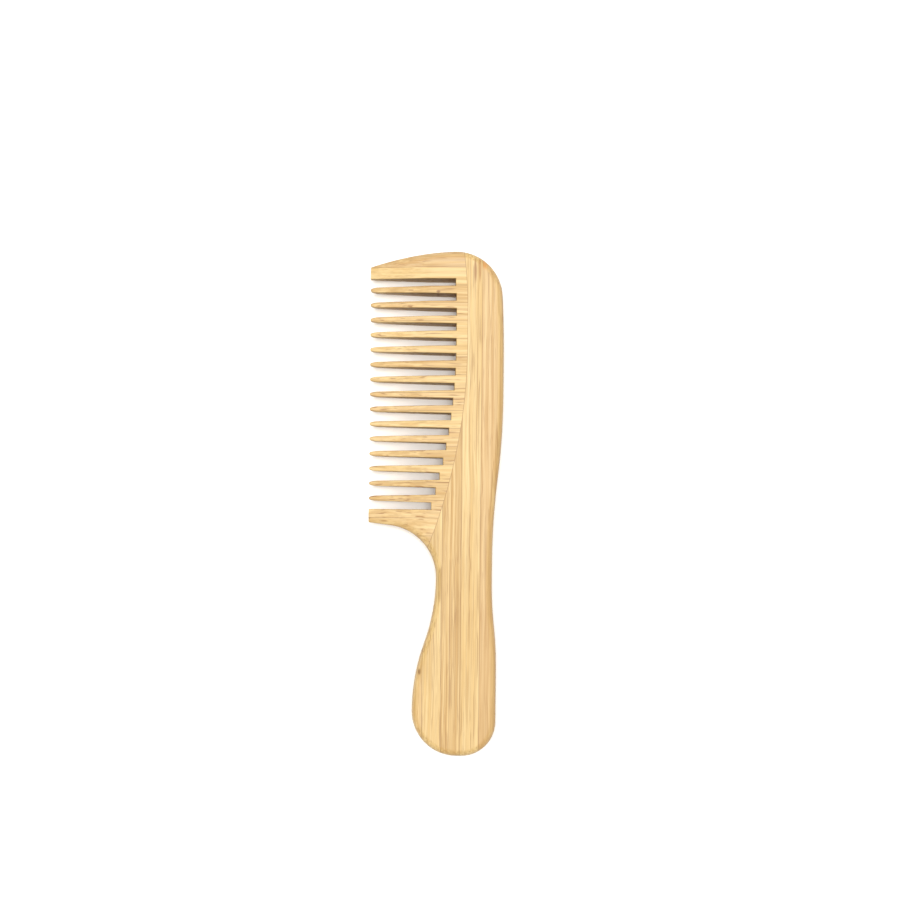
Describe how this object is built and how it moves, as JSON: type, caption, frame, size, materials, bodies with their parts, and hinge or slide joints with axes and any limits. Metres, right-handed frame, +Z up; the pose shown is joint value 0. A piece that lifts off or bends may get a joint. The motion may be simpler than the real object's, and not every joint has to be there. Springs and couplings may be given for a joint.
{
  "type": "wide tooth comb",
  "caption": "Wide tooth hair comb with a waisted handle, glued up from bamboo strips: strips across the comb carry the teeth, strips along it make the spine and handle.",
  "frame": {"origin": "under the middle of the comb's bounding box, on the surface that it lies on", "axes": "+Z up through the thickness, +Y from the handle to the head, the teeth point to -X and the back edge faces +X"},
  "size_m": [0.051, 0.192, 0.01],
  "materials": {
    "pale_bamboo": "satin, sealed",
    "straw_bamboo": "satin, sealed",
    "honey_bamboo": "satin, sealed",
    "dark_bamboo": "satin, sealed"
  },
  "bodies": {
    "root": {"cap_strip": "dark_bamboo", "tooth_strip_01": "pale_bamboo", "tooth_strip_02": "straw_bamboo", "tooth_strip_03": "pale_bamboo", "tooth_strip_04": "straw_bamboo", "tooth_strip_05": "pale_bamboo", "tooth_strip_06": "straw_bamboo", "tooth_strip_07": "pale_bamboo", "tooth_strip_08": "straw_bamboo", "tooth_strip_09": "pale_bamboo", "tooth_strip_10": "straw_bamboo", "tooth_strip_11": "pale_bamboo", "tooth_strip_12": "straw_bamboo", "tooth_strip_13": "pale_bamboo", "tooth_strip_14": "straw_bamboo", "lower_guard_strip": "pale_bamboo", "heel_strip": "straw_bamboo", "back_strip": "pale_bamboo", "spine_strip": "straw_bamboo", "handle_core_strip": "honey_bamboo", "handle_inner_strip": "straw_bamboo", "handle_edge_strip": "honey_bamboo"}
  },
  "joints": []
}
